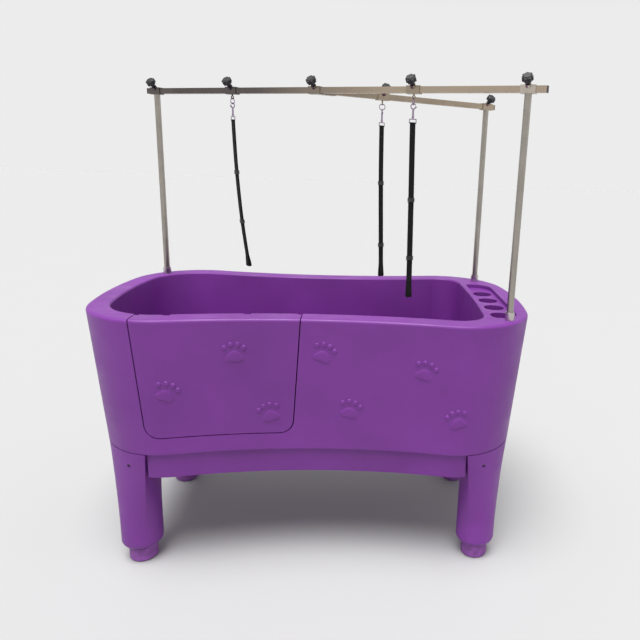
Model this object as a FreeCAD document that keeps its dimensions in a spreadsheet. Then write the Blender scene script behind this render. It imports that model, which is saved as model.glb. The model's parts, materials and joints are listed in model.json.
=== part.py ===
"""Pet bathtub: a waisted double-walled tub with a lift-out door, on four legs.

Three tubular posts stand in sockets in the rim and hold two square bars that
meet over the middle. Each of three carriers on the bars hangs a snap hook and
a webbing restraint. The origin is on the floor under the middle of the tub, X
runs along the tub, +Z is up and the door is on the -Y side. Millimetres.
"""
import FreeCAD, Part
import math
import os
import Sketcher
from FreeCAD import Placement, Rotation, Vector

DIMENSIONS = {
    # Tub plan: circles that touch one another make the waisted outline.
    "TubLength": 1300, "WaistWidth": 636, "WaistRadius": 1900,
    "EndRadius": 1214, "CornerRadius": 215,
    # Tub heights and walls.
    "RimHeight": 784, "SeamHeight": 384, "FloorHeight": 425, "DraftInset": 31,
    "SkinThickness": 5, "RimWidth": 62, "BasinDraftInset": 18,
    "ShelfEdge": 500, "ShelfEdgeRadius": 3670, "ShelfCornerRadius": 78,
    "RimRound": 9, "LipRound": 6, "FloorRound": 25, "SeamRound": 5,
    # Shelf tray and bottle wells.
    "TrayStart": 512, "TrayEnd": 594, "TrayFront": -262, "TrayRear": 202,
    "TrayDepth": 12, "TrayOuterRound": 57, "TrayRound": 9, "WellLine": 552, "WellFirst": -187,
    "WellPitch": 95, "WellRadius": 32, "WellDepth": 82,
    # Deck under the tub.
    "DeckBottom": 308, "DeckInset": 42, "DeckDraft": 5,
    # Lift-out door: a wedge with two round bottom corners.
    "DoorLeft": -466, "DoorRight": -24, "DoorLeftLean": 18, "DoorRightLean": 26,
    "DoorBottom": 437, "DoorCornerRadius": 42, "DoorGap": 3, "SealWidth": 11,
    "SealDepth": 13, "SealTopGap": 14, "SealClearance": 0.5, "DoorSill": 20,
    "NotchWidth": 20, "NotchDepth": 13, "NotchHeight": 6,
    "NotchFirst": 0.19, "NotchSecond": 0.66,
    # Legs and feet.
    "LegX": 513, "LegY": 231, "LegRadius": 59.5, "LegBottom": 50,
    "LegFlareStart": 130, "LegOuterEase": 1.8, "LegInnerEase": 1.15, "LegWall": 8,
    "LegFloor": 25, "LegInnerX": 455, "LegInnerY": 170, "LegGap": 1.5, "LegRound": 18,
    "BoltX": 509, "BoltHeight": 341, "BoltInset": 12, "BoltRadius": 3, "BoltShank": 28,
    "BoltHeadRadius": 4.4, "BoltHeadHeight": 5, "BoltHeadGap": 0.8, "BoltGap": 0.2,
    "BoltSocketRadius": 2.2, "BoltSocketDepth": 2.5,
    "FootRadius": 41, "FootHeight": 49.7, "FootBevel": 5, "FootShoulder": 6,
    "StemRadius": 6, "StemTop": 82,
    # Posts and bars.
    "PostX": 555, "PostRearY": 268, "PostFrontY": -283, "PostRadius": 9.5,
    "TubeWall": 1.5, "PostFoot": 688.3, "SocketRadius": 12, "SocketBore": 9.8,
    "CollarRadius": 13.5, "CollarHeight": 24, "CollarStep": 4, "SocketDepth": 100,
    "BarHeight": 1400, "BarSize": 17, "BarLeftOverhang": 33,
    "BarRightOverhang": 48, "BranchOverhang": 30, "JunctionReach": 607,
    "BranchStart": 28, "SocketArm": 62, "SleeveSize": 21.6, "SleeveBore": 17.6, "SleeveLength": 40,
    "SpigotRadius": 7.9, "SpigotLength": 30, "BossRadius": 8, "BossRoot": 10,
    "BossReach": 18, "PlugCap": 2, "PlugStub": 14, "PlugGap": 0.2,
    "StudRadius": 3.9, "StudHole": 4, "StudHoleRoot": 8, "StudTip": 12.5,
    "KnobReach": 36, "KnobRadius": 12.5, "KnobHeight": 17, "KnobBevel": 1.5,
    "KnobCrown": 3, "HubRadius": 6.5, "HubHeight": 8, "HubFlare": 1,
    "LobeRadius": 4.2, "LobeSink": 1.6, "LobeInset": 2, "LobeHeight": 12, "LobeCount": 7,
    # Hanging hardware, measured down from the bar.
    "EyeDrop": 20, "EyeMajor": 4.5, "EyeMinor": 1.5, "EyeStemRadius": 2.6,
    "EyeStemLength": 5.5, "RingMajor": 9, "RingMinor": 1.25,
    "ClawMajor": 7, "ClawMinor": 1.6, "ClawStart": -50, "ClawSweep": 290,
    "GateMinor": 1.1, "GateStart": 253, "GateHinge": 297, "KnuckleRadius": 1.3,
    "KnuckleWidth": 3.2, "HingePinRadius": 0.6, "HingePinBore": 0.66,
    "CheekGap": 0.3, "CheekThickness": 0.8, "CheekRoot": 322, "ThumbAngle": 284,
    "ThumbRadius": 0.9, "ThumbLength": 4.2,
    "BarrelRadius": 2.8, "BarrelLength": 25, "BarrelStep": 1, "BarrelStepHeight": 4,
    "PinRadius": 1.5, "PinBore": 1.56, "PinLength": 12, "PinBoreDepth": 10,
    "LinkWidth": 20.4, "LinkHeight": 11, "LinkWire": 1.3, "LinkNeck": 2.4,
    "LinkNeckHeight": 2.7,
    "WebWidth": 16, "WebThickness": 4, "WebFold": 1.2, "WebBendShare": 0.45,
    "GlideWidth": 21, "GlideDepth": 8, "GlideHeight": 12, "GlideWall": 0.8,
    "GlideSideGap": 0.5,
    # Drain.
    "DrainX": 380, "DrainFlange": 38, "DrainRecess": 42, "RecessDepth": 6,
    "DrainTube": 22, "DrainHoleGap": 0.6, "DeckHoleGap": 16, "DrainBore": 18,
    "FlangeThickness": 3, "GasketInset": 2, "GasketThickness": 2, "GasketGap": 1,
    "OutletRadius": 20, "OutletEnd": 300, "OutletTop": 345, "NutRadius": 34,
    "NutHeight": 12, "ThreadGap": 0.1, "StrainerWall": 2.1, "StrainerGap": 0.4,
    "StrainerSpigot": 8.3, "StrainerCap": 2, "StrainerBrim": 8, "StrainerBevel": 1,
    "StrainerHole": 2.2, "StrainerHoleCircle": 11, "StrainerHoleCount": 8,
}
UP = Vector(0, 0, 1)
FIT_GAP = 0.3            # clearance between pieces that move past each other
SEAT_GAP = 0.1           # clearance between pieces that sit against each other
OVER = 60                # how far a cutter stands past the face it cuts
TINY = 1e-3              # two lengths closer than this are the same
LEFT, RIGHT = -1, 1
FRONT, REAR = -1, 1

doc = FreeCAD.newDocument("PetBathtub")
sheet = doc.addObject("Spreadsheet::Sheet", "Dims")
for row, (alias, size) in enumerate(DIMENSIONS.items(), start=1):
    sheet.set("A%d" % row, alias)
    sheet.set("B%d" % row, str(size))
    sheet.setAlias("B%d" % row, alias)
doc.recompute()

nodes = []


def dim(alias):
    """Reads one driving dimension from the sheet."""
    return float(sheet.get(alias))


def num(expression):
    """Works out an expression on the sheet's cells."""
    return float(sheet.evalExpression(expression))


def node(obj, label, placement=None):
    """Names a finished piece and keeps it for export."""
    obj.Label = label
    if placement is not None:
        obj.Placement = placement
    nodes.append(obj)
    return obj


def feature(label, shape, placement=None):
    """Keeps a shape made with Part's own functions as a piece."""
    obj = doc.addObject("Part::Feature", label)
    obj.Shape = shape
    return node(obj, label, placement or Placement())


def primitive(kind, placement=None, **sizes):
    """Adds a Part primitive whose sizes are expressions on the sheet."""
    obj = doc.addObject("Part::" + kind, kind)
    for prop, expression in sizes.items():
        obj.setExpression(prop, expression)
    obj.Placement = placement or Placement()
    return obj


def fuse(*pieces):
    obj = doc.addObject("Part::MultiFuse", "Fuse")
    obj.Shapes = list(pieces)
    obj.Refine = True
    return obj


def cut(base, *tools):
    obj = doc.addObject("Part::Cut", "Cut")
    obj.Base = base
    obj.Tool = tools[0] if len(tools) == 1 else fuse(*tools)
    return obj


def at(x, y, z, rotation=None):
    return Placement(Vector(x, y, z), rotation or Rotation())


def along(direction):
    """Turns +Z to a direction."""
    return Rotation(UP, direction)


# ---------------------------------------------------------------- sketches
def new_body(name):
    return doc.addObject("PartDesign::Body", name)


def new_sketch(body, plane):
    sketch = body.newObject("Sketcher::SketchObject", "Sketch")
    support = [item for item in body.Origin.OriginFeatures if item.Role == plane]
    sketch.AttachmentSupport = (support[0], [""])
    sketch.MapMode = "FlatFace"
    return sketch


def pin_corner(sketch, line, kind, axis, expression):
    """Fixes one coordinate of a line's start by an expression."""
    size = num(expression)
    if abs(size) < TINY:
        sketch.addConstraint(Sketcher.Constraint("PointOnObject", line, 1, axis))
        return
    index = sketch.addConstraint(Sketcher.Constraint(kind, -1, 1, line, 1, size))
    sketch.setExpression("Constraints[%d]" % index, expression)


def polygon(sketch, corners):
    """Draws a closed polygon through corners given as pairs of expressions."""
    first = sketch.GeometryCount
    count = len(corners)
    spots = [Vector(num(x), num(y), 0) for x, y in corners]
    for i in range(count):
        sketch.addGeometry(Part.LineSegment(spots[i], spots[(i + 1) % count]))
    for i in range(count):
        follow = first + (i + 1) % count
        sketch.addConstraint(Sketcher.Constraint("Coincident", first + i, 2, follow, 1))
    for i, (x, y) in enumerate(corners):
        pin_corner(sketch, first + i, "DistanceX", -2, x)
        pin_corner(sketch, first + i, "DistanceY", -1, y)


def circle(sketch, radius, x="0", y="0"):
    """Draws a circle whose radius and centre are expressions."""
    centre = Vector(num(x), num(y), 0)
    index = sketch.addGeometry(Part.Circle(centre, UP, num(radius)))
    for kind, axis, where in (("DistanceX", -2, x), ("DistanceY", -1, y)):
        if abs(num(where)) < TINY:
            sketch.addConstraint(Sketcher.Constraint("PointOnObject", index, 3, axis))
        else:
            spot = Sketcher.Constraint(kind, -1, 1, index, 3, num(where))
            sketch.setExpression("Constraints[%d]" % sketch.addConstraint(spot), where)
    size = sketch.addConstraint(Sketcher.Constraint("Radius", index, num(radius)))
    sketch.setExpression("Constraints[%d]" % size, radius)


def pad(body, sketch, length):
    padded = body.newObject("PartDesign::Pad", "Pad")
    padded.Profile = sketch
    padded.setExpression("Length", length)
    sketch.Visibility = False
    return padded


def revolve(body, sketch):
    spun = body.newObject("PartDesign::Revolution", "Revolution")
    spun.Profile = sketch
    spun.ReferenceAxis = (sketch, ["V_Axis"])
    spun.Angle = 360
    return spun


def turned(name, corners):
    """A body of revolution about Z from a half profile."""
    body = new_body(name)
    sketch = new_sketch(body, "XZ_Plane")
    polygon(sketch, corners)
    revolve(body, sketch)
    return body


# ------------------------------------------------------------ plan outlines
def corner_centre(waist, end, radius):
    """Centre of the corner circle that touches the waist and end circles."""
    waist_x, waist_y, waist_r = waist
    end_x, end_y, end_r = end
    reach_waist = waist_r + radius
    reach_end = end_r - radius
    span = math.hypot(end_x - waist_x, end_y - waist_y)
    part = (reach_waist ** 2 - reach_end ** 2 + span ** 2) / (2 * span)
    rise = math.sqrt(reach_waist ** 2 - part ** 2)
    ux, uy = (end_x - waist_x) / span, (end_y - waist_y) / span
    return [(waist_x + part * ux - side * rise * uy, waist_y + part * uy + side * rise * ux)
            for side in (1, -1)]


class Outline:
    """Waisted closed outline: two inward arcs, two end arcs, four corners."""

    def __init__(self, waist_half, waist_radius, left, right):
        self.waist_centre = waist_half + waist_radius
        self.waist_radius = waist_radius
        self.ends = {}
        for side, (reach, end_radius, corner_radius) in ((LEFT, left), (RIGHT, right)):
            end = (side * (reach - end_radius), 0, end_radius)
            waist = (0, self.waist_centre, waist_radius)
            spots = corner_centre(waist, end, corner_radius)
            spot = max(spots, key=lambda p: side * p[0])
            self.ends[side] = (end, (spot[0], spot[1], corner_radius))

    def circles(self, inset):
        """Circles in order round the outline; a negative radius bulges inward."""
        loop = []
        for side, order in ((RIGHT, (FRONT, REAR)), (LEFT, (REAR, FRONT))):
            end, corner = self.ends[side]
            loop.append((0, order[0] * self.waist_centre, -(self.waist_radius + inset)))
            loop.append((corner[0], order[0] * corner[1], corner[2] - inset))
            loop.append((end[0], end[1], end[2] - inset))
            loop.append((corner[0], order[1] * corner[1], corner[2] - inset))
        return loop

    def wire(self, inset, height):
        loop = self.circles(inset)
        count = len(loop)
        joints = [touch_point(loop[i], loop[(i + 1) % count]) for i in range(count)]
        edges = []
        for i in range(count):
            start, finish = joints[i - 1], joints[i]
            x, y, radius = loop[i]
            middle = Vector((start[0] + finish[0]) / 2 - x, (start[1] + finish[1]) / 2 - y, 0)
            middle.normalize()
            bulge = Vector(x, y, height) + middle * abs(radius)
            arc = Part.Arc(Vector(*start, height), bulge, Vector(*finish, height))
            edges.append(arc.toShape())
        return Part.Wire(edges)

    def waist_depth(self, x):
        """Half width of the outline on its waist arc."""
        return self.waist_centre - math.sqrt(self.waist_radius ** 2 - x ** 2)

    def depth_at(self, x, inset):
        """Half width of the outline on a corner arc."""
        side = RIGHT if x > 0 else LEFT
        corner = self.ends[side][1]
        offset = math.sqrt((corner[2] - inset) ** 2 - (x - corner[0]) ** 2)
        return corner[1] + offset


def touch_point(a, b):
    """Point where two neighbouring circles touch."""
    gap = math.hypot(b[0] - a[0], b[1] - a[1])
    if a[2] * b[2] < 0:
        share = abs(a[2]) / gap
        return (a[0] + (b[0] - a[0]) * share, a[1] + (b[1] - a[1]) * share)
    big, small = (a, b) if a[2] > b[2] else (b, a)
    share = big[2] / gap
    return (big[0] + (small[0] - big[0]) * share, big[1] + (small[1] - big[1]) * share)


def loft(outline, low_inset, low, high_inset, high):
    """Drafted solid between two insets of an outline."""
    wires = [outline.wire(low_inset, low), outline.wire(high_inset, high)]
    return Part.makeLoft(wires, True, True)


def edges_at(shape, height):
    """Edges that lie flat at a height."""
    flat = []
    for edge in shape.Edges:
        box = edge.BoundBox
        if abs(box.ZMin - height) < TINY and abs(box.ZMax - height) < TINY:
            flat.append(edge)
    return flat


half_length = dim("TubLength") / 2
waist_half = dim("WaistWidth") / 2
rim = dim("RimHeight")
seam = dim("SeamHeight")
floor = dim("FloorHeight")
skin = dim("SkinThickness")
rim_width = dim("RimWidth")
outer_side = (half_length, dim("EndRadius"), dim("CornerRadius"))
outer = Outline(waist_half, dim("WaistRadius"), outer_side, outer_side)
basin = Outline(waist_half - rim_width, dim("WaistRadius") + rim_width,
                tuple(size - rim_width for size in outer_side),
                (dim("ShelfEdge"), dim("ShelfEdgeRadius"), dim("ShelfCornerRadius")))
draft = dim("DraftInset") / (rim - seam)
basin_draft = dim("BasinDraftInset") / (rim - floor)


def outer_solid(inset, low, high):
    """The tub's outer form, shrunk by an inset, between two heights."""
    return loft(outer, inset + (rim - low) * draft, low, inset + (rim - high) * draft, high)


def basin_solid(grow, low, high):
    """The basin's hollow, grown by a wall, between two heights."""
    return loft(basin, (rim - low) * basin_draft - grow, low,
                (rim - high) * basin_draft - grow, high)


def upright(x, y, radius, low, high):
    return Part.makeCylinder(radius, high - low, Vector(x, y, low), UP)


# --------------------------------------------------------------------- door
DOOR_TOP = rim + 2 * OVER
DOOR_NEAR, DOOR_FAR = -430, -120      # the wedge's faces, clear of the wall


def door_wedge(grow):
    """Wedge through the front wall, grown on its sides and bottom."""
    lean_height = rim - dim("DoorBottom")
    low = dim("DoorBottom") - grow
    corner = dim("DoorCornerRadius") + grow

    def edge_x(side, height):
        if side == LEFT:
            return dim("DoorLeft") - grow + dim("DoorLeftLean") * (rim - height) / lean_height
        return dim("DoorRight") + grow - dim("DoorRightLean") * (rim - height) / lean_height

    spots = [Vector(edge_x(LEFT, DOOR_TOP), DOOR_NEAR, DOOR_TOP),
             Vector(edge_x(LEFT, low), DOOR_NEAR, low),
             Vector(edge_x(RIGHT, low), DOOR_NEAR, low),
             Vector(edge_x(RIGHT, DOOR_TOP), DOOR_NEAR, DOOR_TOP)]
    face = Part.Face(Part.makePolygon(spots + spots[:1]))
    block = face.extrude(Vector(0, DOOR_FAR - DOOR_NEAR, 0))
    lower = [edge for edge in edges_at(block, low) if edge.BoundBox.XLength < TINY]
    return block.makeFillet(corner, lower)


def door_notches(grow):
    """Two finger notches in the door's inner top edge."""
    width = dim("DoorRight") - dim("DoorLeft")
    blocks = []
    for share in (dim("NotchFirst"), dim("NotchSecond")):
        x = dim("DoorLeft") + share * width
        deep = basin.waist_depth(x) + dim("NotchDepth") + grow
        corner = Vector(x - dim("NotchWidth") / 2 - grow, -deep, rim - dim("NotchHeight") - grow)
        blocks.append(Part.makeBox(dim("NotchWidth") + 2 * grow, OVER, OVER, corner))
    return blocks[0].fuse(blocks[1])


def drained(shape):
    """Cuts the drain's recess and hole through the tub's floor."""
    x = dim("DrainX")
    recess = upright(x, 0, dim("DrainRecess"), floor - dim("RecessDepth"), rim)
    return shape.cut(recess).cut(upright(x, 0, dim("DrainTube") + dim("DrainHoleGap"), 0, floor))


def well_ys():
    return [dim("WellFirst") + i * dim("WellPitch") for i in range(4)]


def post_spots():
    return [(LEFT * dim("PostX"), dim("PostRearY")),
            (RIGHT * dim("PostX"), dim("PostRearY")),
            (RIGHT * dim("PostX"), dim("PostFrontY"))]


def tray_solid(grow):
    """Shelf tray with round corners."""
    x0, x1 = dim("TrayStart") - grow, dim("TrayEnd") + grow
    y0, y1 = dim("TrayFront") - grow, dim("TrayRear") + grow
    low = rim - dim("TrayDepth") - grow
    block = Part.makeBox(x1 - x0, y1 - y0, OVER, Vector(x0, y0, low))
    outside = [edge for edge in block.Edges
               if edge.BoundBox.ZLength > OVER / 2 and edge.BoundBox.XMin > (x0 + x1) / 2]
    block = block.makeFillet(dim("TrayOuterRound"), outside)
    inside = [edge for edge in block.Edges
              if edge.BoundBox.ZLength > OVER / 2 and edge.BoundBox.XMax < x0 + TINY]
    return block.makeFillet(dim("TrayRound"), inside)


tub_block = outer_solid(0, seam, rim)
tub_block = tub_block.makeFillet(dim("RimRound"), edges_at(tub_block, rim))
tub_block = tub_block.makeFillet(dim("SeamRound"), edges_at(tub_block, seam))
hollow = basin_solid(0, floor, rim + OVER)
hollow = hollow.makeFillet(dim("FloorRound"), edges_at(hollow, floor))
wall = tub_block.cut(hollow)
mouth = basin_solid(1, rim - 1, rim + 1)
lip = [edge for edge in edges_at(wall, rim)
       if mouth.isInside(edge.valueAt(edge.FirstParameter), 1, True)]
wall = wall.makeFillet(dim("LipRound"), lip)


def tub_shell():
    """Double-walled tub with its sealed hollow, shelf, sockets and drain."""
    cavity = outer_solid(skin, seam + skin, rim - skin)
    cavity = cavity.cut(basin_solid(skin, floor - skin, rim + OVER))
    cavity = cavity.cut(door_wedge(skin))
    cavity = cavity.cut(tray_solid(skin))
    cavity = cavity.cut(upright(dim("DrainX"), 0, dim("DrainRecess") + skin, 0, rim))
    shell = wall.cut(door_wedge(0)).cut(tray_solid(0))
    well_low = rim - dim("TrayDepth") - dim("WellDepth")
    for y in well_ys():
        cavity = cavity.cut(upright(dim("WellLine"), y, dim("WellRadius") + skin,
                                    well_low - skin, rim + OVER))
        shell = shell.cut(upright(dim("WellLine"), y, dim("WellRadius"), well_low, rim + OVER))
    socket_low = rim - dim("SocketDepth")
    for x, y in post_spots():
        cavity = cavity.cut(upright(x, y, dim("SocketRadius") + skin,
                                    socket_low - skin, rim + OVER))
        shell = shell.cut(upright(x, y, dim("SocketRadius"), socket_low, rim + OVER))
    shell = drained(shell)
    return shell.cut(cavity)


def door_panel():
    """Hollow door leaf, stepped on its inside for the seal."""
    gap = dim("DoorGap")
    leaf = wall.common(door_wedge(-gap))
    step = basin_solid(dim("SealDepth"), floor - OVER, rim + OVER).cut(
        door_wedge(-gap - dim("SealWidth")))
    leaf = leaf.cut(step).cut(door_notches(0))
    inner = outer_solid(skin, dim("DoorBottom") + dim("DoorSill"), rim - skin)
    inner = inner.cut(basin_solid(skin, floor - OVER, rim + OVER))
    inner = inner.common(door_wedge(-gap - dim("SealWidth") - skin))
    return leaf.cut(inner.cut(door_notches(skin)))


def door_seal():
    """U-shaped rubber strip round the inside of the door opening."""
    spare = dim("SealClearance")
    strip = door_wedge(-SEAT_GAP).cut(door_wedge(spare - dim("DoorGap") - dim("SealWidth")))
    layer = basin_solid(dim("SealDepth") - spare, floor - OVER, rim + OVER).cut(
        basin_solid(spare, floor - 2 * OVER, rim + 2 * OVER))
    return strip.common(layer).common(outer_solid(0, floor - OVER, rim - dim("SealTopGap")))


feature("tub_shell", tub_shell())
feature("door_panel", door_panel())
feature("door_seal", door_seal())


# ------------------------------------------------------------ deck and legs
def base_deck():
    """Closed moulded deck under the tub, notched for the legs."""
    low, high = dim("DeckBottom"), seam - FIT_GAP
    inset, taper = dim("DeckInset"), dim("DeckDraft")
    block = loft(outer, inset + taper, low, inset, high)
    inside = loft(outer, inset + taper + skin, low + skin, inset + skin, high - skin)
    notch_x, notch_y = dim("LegInnerX") - dim("LegGap"), dim("LegInnerY") - dim("LegGap")

    def corner_block(grow):
        """Square block that reaches past the deck's corner from a leg's inner edge."""
        spot = Vector(notch_x - grow, notch_y - grow, low - OVER)
        return Part.makeBox(half_length, half_length, half_length, spot)

    for side in (LEFT, RIGHT):
        for end in (FRONT, REAR):
            block = block.cut(at_corner(corner_block(0), side, end))
            inside = inside.cut(at_corner(corner_block(skin), side, end))
    hole = dim("DrainTube") + dim("DeckHoleGap")
    inside = inside.cut(upright(dim("DrainX"), 0, hole + skin, 0, rim))
    return block.cut(inside).cut(upright(dim("DrainX"), 0, hole, 0, rim))


# Bearings, from the leg's axis, of the six points that the outline's arcs join.
LEG_BEARINGS = {"front": 122, "outermost": 45, "side": -33, "side_middle": -83,
                "inner": -133, "front_middle": 173}


def leg_section(height, blend, inner_blend):
    """Leg outline at a height: a circle at blend 0, the tub's corner at 1."""
    x, y, radius = dim("LegX"), dim("LegY"), dim("LegRadius")
    inner_x, inner_y = dim("LegInnerX"), dim("LegInnerY")
    corner_x, corner_y, corner_r = outer.ends[RIGHT][1]
    reach = corner_r - dim("DraftInset") - FIT_GAP

    def on_corner(angle):
        return (corner_x + reach * math.cos(angle), corner_y + reach * math.sin(angle))

    top_angle = math.acos((inner_x - corner_x) / reach)
    low_angle = math.asin((inner_y - corner_y) / reach)
    front, outermost, side = [on_corner(angle) for angle in
                              (top_angle, (top_angle + low_angle) / 2, low_angle)]
    # Where each point ends at the top of the leg. The two inner sides bow by
    # FIT_GAP, so that all three edges are arcs at every height.
    tops = {"front": front, "outermost": outermost, "side": side,
            "side_middle": ((inner_x + side[0]) / 2, inner_y - FIT_GAP),
            "inner": (inner_x, inner_y),
            "front_middle": (inner_x - FIT_GAP, (inner_y + front[1]) / 2)}
    spots = []
    for place, degrees in LEG_BEARINGS.items():
        share = blend if place == "outermost" else inner_blend
        angle = math.radians(degrees)
        cx, cy = x + radius * math.cos(angle), y + radius * math.sin(angle)
        top_x, top_y = tops[place]
        spots.append(Vector(cx + (top_x - cx) * share, cy + (top_y - cy) * share, height))
    arcs = [Part.Arc(spots[i], spots[i + 1], spots[(i + 2) % 6]).toShape() for i in (0, 2, 4)]
    return Part.Wire(arcs)


def leg_shape():
    """Rear right leg: a round hollow leg that flares to the tub's corner."""
    x, y, radius = dim("LegX"), dim("LegY"), dim("LegRadius")
    low, start, top = dim("LegBottom"), dim("LegFlareStart"), seam - FIT_GAP
    shaft = Part.Face(leg_section(start, 0, 0)).extrude(Vector(0, 0, low - start))
    shaft = shaft.makeFillet(dim("LegRound"), edges_at(shaft, low))
    sections = [leg_section(start + (top - start) * share, share ** dim("LegOuterEase"),
                            share ** dim("LegInnerEase"))
                for share in (0, 0.2, 0.4, 0.6, 0.8, 1)]
    leg = shaft.fuse(Part.makeLoft(sections, True, False))
    inside = low + dim("LegFloor")
    leg = leg.cut(upright(x, y, radius - dim("LegWall"), inside, top - dim("LegWall")))
    leg = leg.cut(upright(x, y, dim("StemRadius") + FIT_GAP, 0, inside + 1))
    seat = bolt_seat()
    depth = Vector(0, dim("BoltShank") + dim("BoltHeadHeight"), 0)
    recess = Part.makeCylinder(dim("BoltHeadRadius") + dim("BoltHeadGap"), OVER, seat, OUTWARD)
    bore = Part.makeCylinder(dim("BoltRadius") + dim("BoltGap"), depth.y + 1, seat - depth,
                             OUTWARD)
    return leg.cut(recess).cut(bore)


OUTWARD = Vector(0, 1, 0)


def bolt_seat():
    """Middle of the rear right bolt's seat, sunk in the leg's outer face."""
    face = outer.depth_at(dim("BoltX"), dim("DraftInset"))
    return Vector(dim("BoltX"), face - dim("BoltInset"), dim("BoltHeight"))


def bolt_shape():
    """Socket-head bolt that holds the rear right leg."""
    seat = bolt_seat()
    shank = dim("BoltShank")
    drive = dim("BoltHeadHeight") - dim("BoltSocketDepth")
    head = Part.makeCylinder(dim("BoltHeadRadius"), dim("BoltHeadHeight"), seat, OUTWARD)
    stem = Part.makeCylinder(dim("BoltRadius"), shank + 1, seat - OUTWARD * shank, OUTWARD)
    socket = Part.makeCylinder(dim("BoltSocketRadius"), OVER, seat + OUTWARD * drive, OUTWARD)
    return head.fuse(stem).cut(socket)


def at_corner(shape, side, end):
    """Mirrors a rear right piece to another corner."""
    if side == LEFT:
        shape = shape.mirror(Vector(), Vector(1, 0, 0))
    if end == FRONT:
        shape = shape.mirror(Vector(), Vector(0, 1, 0))
    return shape


CORNERS = {"front_left": (LEFT, FRONT), "front_right": (RIGHT, FRONT),
           "rear_left": (LEFT, REAR), "rear_right": (RIGHT, REAR)}

feature("base_deck", base_deck())
right_rear_leg = leg_shape()
for corner_name, (side, end) in CORNERS.items():
    feature("leg_" + corner_name, at_corner(right_rear_leg, side, end))
feature("leg_bolts", Part.makeCompound([at_corner(bolt_shape(), side, end)
                                        for side, end in CORNERS.values()]))

for corner_name, (side, end) in CORNERS.items():
    foot = turned("Foot", [
        ("0", "0"), ("Dims.FootRadius - Dims.FootBevel", "0"),
        ("Dims.FootRadius", "Dims.FootBevel"),
        ("Dims.FootRadius", "Dims.FootHeight - Dims.FootShoulder"),
        ("Dims.FootRadius - Dims.FootShoulder", "Dims.FootHeight"),
        ("Dims.StemRadius", "Dims.FootHeight"), ("Dims.StemRadius", "Dims.StemTop"),
        ("0", "Dims.StemTop")])
    node(foot, "foot_" + corner_name, at(side * dim("LegX"), end * dim("LegY"), 0))


# -------------------------------------------------------------------- drain
drain_at = at(dim("DrainX"), 0, 0)
RECESS_FLOOR = "Dims.FloorHeight - Dims.RecessDepth"
GASKET_TOP = RECESS_FLOOR + " + Dims.GasketThickness"
FLANGE_TOP = GASKET_TOP + " + Dims.FlangeThickness"
drain = turned("DrainBody", [
    ("Dims.DrainBore", "Dims.OutletEnd"), ("Dims.OutletRadius", "Dims.OutletEnd"),
    ("Dims.OutletRadius", "Dims.OutletTop"), ("Dims.DrainTube", "Dims.OutletTop"),
    ("Dims.DrainTube", GASKET_TOP), ("Dims.DrainFlange", GASKET_TOP),
    ("Dims.DrainFlange", FLANGE_TOP), ("Dims.DrainBore", FLANGE_TOP)])
node(drain, "drain_body", drain_at)

GASKET_BORE = "Dims.DrainTube + Dims.GasketGap"
GASKET_EDGE = "Dims.DrainFlange - Dims.GasketInset"
gasket = turned("DrainGasket", [
    (GASKET_BORE, RECESS_FLOOR), (GASKET_EDGE, RECESS_FLOOR), (GASKET_EDGE, GASKET_TOP),
    (GASKET_BORE, GASKET_TOP)])
node(gasket, "drain_gasket", drain_at)

CAP_LOW = FLANGE_TOP + " + %s" % FIT_GAP
CAP_TOP = CAP_LOW + " + Dims.StrainerCap"
SPIGOT_END = CAP_LOW + " - Dims.StrainerSpigot"
SPIGOT_OUT = "Dims.DrainBore - Dims.StrainerGap"
SPIGOT_IN = SPIGOT_OUT + " - Dims.StrainerWall"
BRIM = "Dims.DrainBore + Dims.StrainerBrim"
strainer = turned("DrainStrainer", [
    ("0", CAP_LOW), (SPIGOT_IN, CAP_LOW), (SPIGOT_IN, SPIGOT_END), (SPIGOT_OUT, SPIGOT_END),
    (SPIGOT_OUT, CAP_LOW), (BRIM, CAP_LOW), (BRIM + " - Dims.StrainerBevel", CAP_TOP),
    ("0", CAP_TOP)])
doc.recompute()
hole_sketch = new_sketch(strainer, "XY_Plane")
circle(hole_sketch, "Dims.StrainerHole", x="Dims.StrainerHoleCircle")
circle(hole_sketch, "Dims.StrainerHole")
holes = strainer.newObject("PartDesign::Pocket", "Holes")
holes.Profile = hole_sketch
holes.Type = "ThroughAll"
holes.Midplane = True
ring_of_holes = strainer.newObject("PartDesign::PolarPattern", "RingOfHoles")
ring_of_holes.Originals = [holes]
ring_of_holes.Axis = (hole_sketch, ["N_Axis"])
ring_of_holes.Angle = 360
ring_of_holes.setExpression("Occurrences", "Dims.StrainerHoleCount")
strainer.Tip = ring_of_holes
node(strainer, "drain_strainer", drain_at)

nut_body = new_body("DrainNut")
nut_sketch = new_sketch(nut_body, "XY_Plane")
polygon(nut_sketch, [("Dims.NutRadius * cos(%d deg)" % angle,
                      "Dims.NutRadius * sin(%d deg)" % angle)
                     for angle in range(0, 360, 60)])
circle(nut_sketch, "Dims.DrainTube + Dims.ThreadGap")
pad(nut_body, nut_sketch, "Dims.NutHeight")
node(nut_body, "drain_nut", at(dim("DrainX"), 0, seam - dim("NutHeight") - SEAT_GAP))


# ---------------------------------------------------------- sockets, posts
collars = []
for x, y in post_spots():
    sleeve = primitive("Cylinder", at(x, y, rim - dim("SocketDepth")),
                       Radius="Dims.SocketRadius",
                       Height="Dims.SocketDepth + Dims.CollarHeight")
    collar = primitive("Cylinder", at(x, y, rim), Radius="Dims.CollarRadius",
                       Height="Dims.CollarHeight - Dims.CollarStep")
    bore = primitive("Cylinder", at(x, y, dim("PostFoot") - FIT_GAP),
                     Radius="Dims.SocketBore", Height="2 * Dims.SocketDepth")
    collars.append(cut(fuse(sleeve, collar), bore))
sockets = doc.addObject("Part::Compound", "Sockets")
sockets.Links = collars
node(sockets, "post_sockets")


def square(sketch, size):
    """A square centred on the sketch's origin."""
    half = "(%s) / 2" % size
    polygon(sketch, [("-" + half, "-" + half), (half, "-" + half), (half, half),
                     ("-" + half, half)])


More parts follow.
